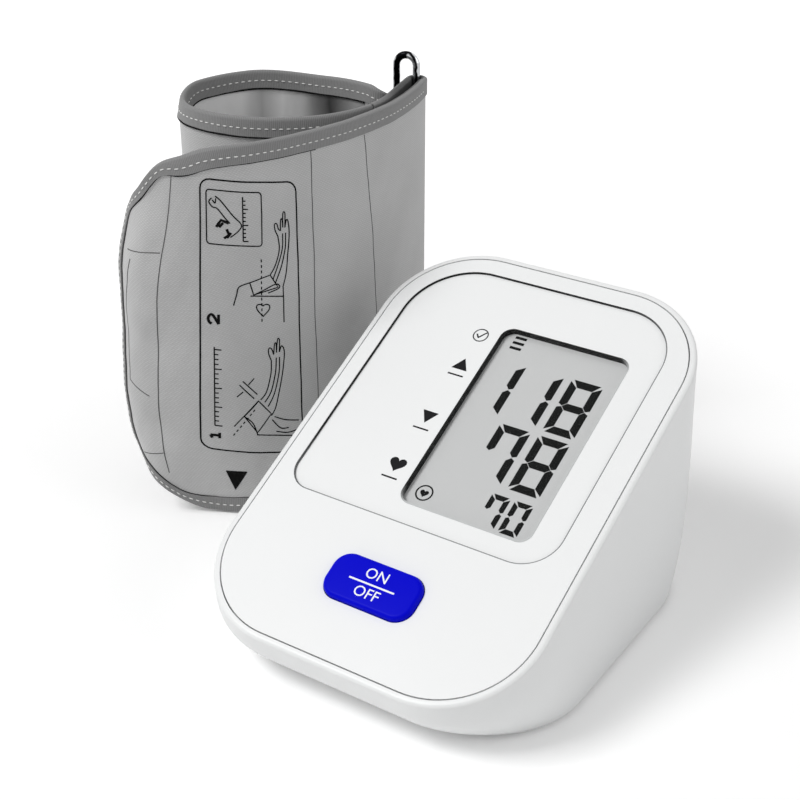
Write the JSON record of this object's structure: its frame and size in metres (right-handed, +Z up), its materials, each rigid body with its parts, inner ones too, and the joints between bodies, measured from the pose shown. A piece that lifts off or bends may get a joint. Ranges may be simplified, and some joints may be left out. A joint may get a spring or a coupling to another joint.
{
  "type": "arm blood pressure monitor",
  "caption": "Upper-arm blood pressure monitor: a sloped desk unit with a display and a start button, and a wound fabric arm cuff with a ring and a peel-back flap.",
  "frame": {"origin": "centre of the desk unit's four rubber feet, on the surface it stands on", "axes": "+Z up, +Y to the rear of the desk unit (away from the user), +X to its right as the user sees it"},
  "size_m": [0.1776, 0.1559, 0.128],
  "materials": {
    "shell_plastic": "moulded ABS, fine satin",
    "face_plastic": "moulded ABS, fine satin",
    "base_plastic": "moulded ABS, satin",
    "label_plate": "printed polycarbonate plate, smooth",
    "black_gasket": "matt",
    "clear_window": "clear acrylic",
    "lcd_glass": "clear",
    "reflector_film": "satin film",
    "zebra_rubber": "matt",
    "holder_plastic": "satin",
    "button_blue": "semi-gloss",
    "switch_plastic": "satin",
    "circuit_board": "solder mask",
    "chip_black": "matt",
    "part_beige": "matt",
    "nickel": "nickel plated",
    "zinc_steel": "zinc plated",
    "cell_wrap": "semi-gloss wrap",
    "foot_rubber": "matt",
    "foam": "open-cell foam",
    "pump_plastic": "glass-filled nylon",
    "pump_rubber": "matt",
    "magnet_ferrite": "matt",
    "copper_coil": "enamelled copper wire",
    "hose_rubber": "silicone, satin",
    "cuff_cloth": "twill nylon, padded",
    "cuff_lining": "smooth woven nylon",
    "binding_tape": "woven binding tape, stitched",
    "bladder_film": "latex-free film",
    "hook_tape": "hook tape",
    "ring_chrome": "polished"
  },
  "bodies": {
    "monitor": {"side_shell": "shell_plastic", "face_cover": "face_plastic", "panel_gasket": "black_gasket", "display_panel": "label_plate", "window_bezel": "black_gasket", "window_lens": "clear_window", "lcd_glass": "lcd_glass", "lcd_reflector": "reflector_film", "zebra_strips": "zebra_rubber", "lcd_holder": "holder_plastic", "switch_body": "switch_plastic", "main_board": "circuit_board", "board_chips": "chip_black", "board_passives": "part_beige", "crystal_can": "nickel", "pressure_sensor": "chip_black", "buzzer": "chip_black", "board_screws": "zinc_steel", "base_plate": "base_plastic", "batteries": "cell_wrap", "contact_plates": "nickel", "contact_springs": "nickel", "rubber_feet": "foot_rubber", "case_screws": "zinc_steel", "pump_housing": "pump_plastic", "pump_diaphragm": "pump_rubber", "wobble_plate": "pump_plastic", "motor_can": "zinc_steel", "motor_end_cap": "pump_plastic", "motor_magnets": "magnet_ferrite", "pump_cradle": "foam", "valve_yoke": "zinc_steel", "valve_coil": "copper_coil", "valve_spring": "nickel", "valve_nozzle": "pump_plastic", "air_manifold": "pump_plastic", "hose_valve": "hose_rubber", "hose_jack": "hose_rubber", "hose_pump": "hose_rubber", "hose_sensor": "hose_rubber", "air_jack": "pump_plastic", "power_jack": "switch_plastic"},
    "button": {"start_button": "button_blue", "switch_plunger": "switch_plastic"},
    "door": {"battery_door": "base_plastic"},
    "rotor": {"motor_rotor": "zinc_steel", "pump_eccentric": "pump_plastic"},
    "valve_pin": {"valve_armature": "zinc_steel"},
    "cuff": {"cuff_sleeve": "cuff_cloth", "cuff_lining": "cuff_lining", "cuff_nipple": "pump_plastic", "air_bladder": "bladder_film", "sleeve_tape": "binding_tape", "cuff_strap": "cuff_cloth", "strap_tape": "binding_tape", "d_ring": "ring_chrome"},
    "flap": {"flap_tip": "cuff_cloth", "tip_tape": "binding_tape", "hook_patch": "hook_tape"}
  },
  "joints": [
    {"name": "start_press", "type": "slide", "parent": "monitor", "child": "button", "axis": [0, 0.4462, -0.8949], "range_m": [0, 0.0008], "stiffness_N_per_m": 1000, "springref_m": -0.001},
    {"name": "battery_door_hinge", "type": "hinge", "parent": "monitor", "child": "door", "pos_m": [0, -0.0075, 0.0012], "axis": [-1, 0, 0], "range_deg": [0, 75]},
    {"name": "pump_spin", "type": "hinge", "parent": "monitor", "child": "rotor", "pos_m": [0.02, 0.042, 0.0352], "axis": [1, 0, 0], "continuous": true},
    {"name": "valve_stroke", "type": "slide", "parent": "monitor", "child": "valve_pin", "axis": [-1, 0, 0], "range_m": [0, 0.0008], "stiffness_N_per_m": 600, "springref_m": -0.0006},
    {"name": "cuff_lift", "type": "slide", "parent": "monitor", "child": "cuff", "axis": [0, 0, 1], "range_m": [0, 0.2]},
    {"name": "flap_peel", "type": "hinge", "parent": "cuff", "child": "flap", "pos_m": [-0.07592, 0.00915, 0.06], "axis": [0, 0, 1], "range_deg": [-25, 60]}
  ]
}
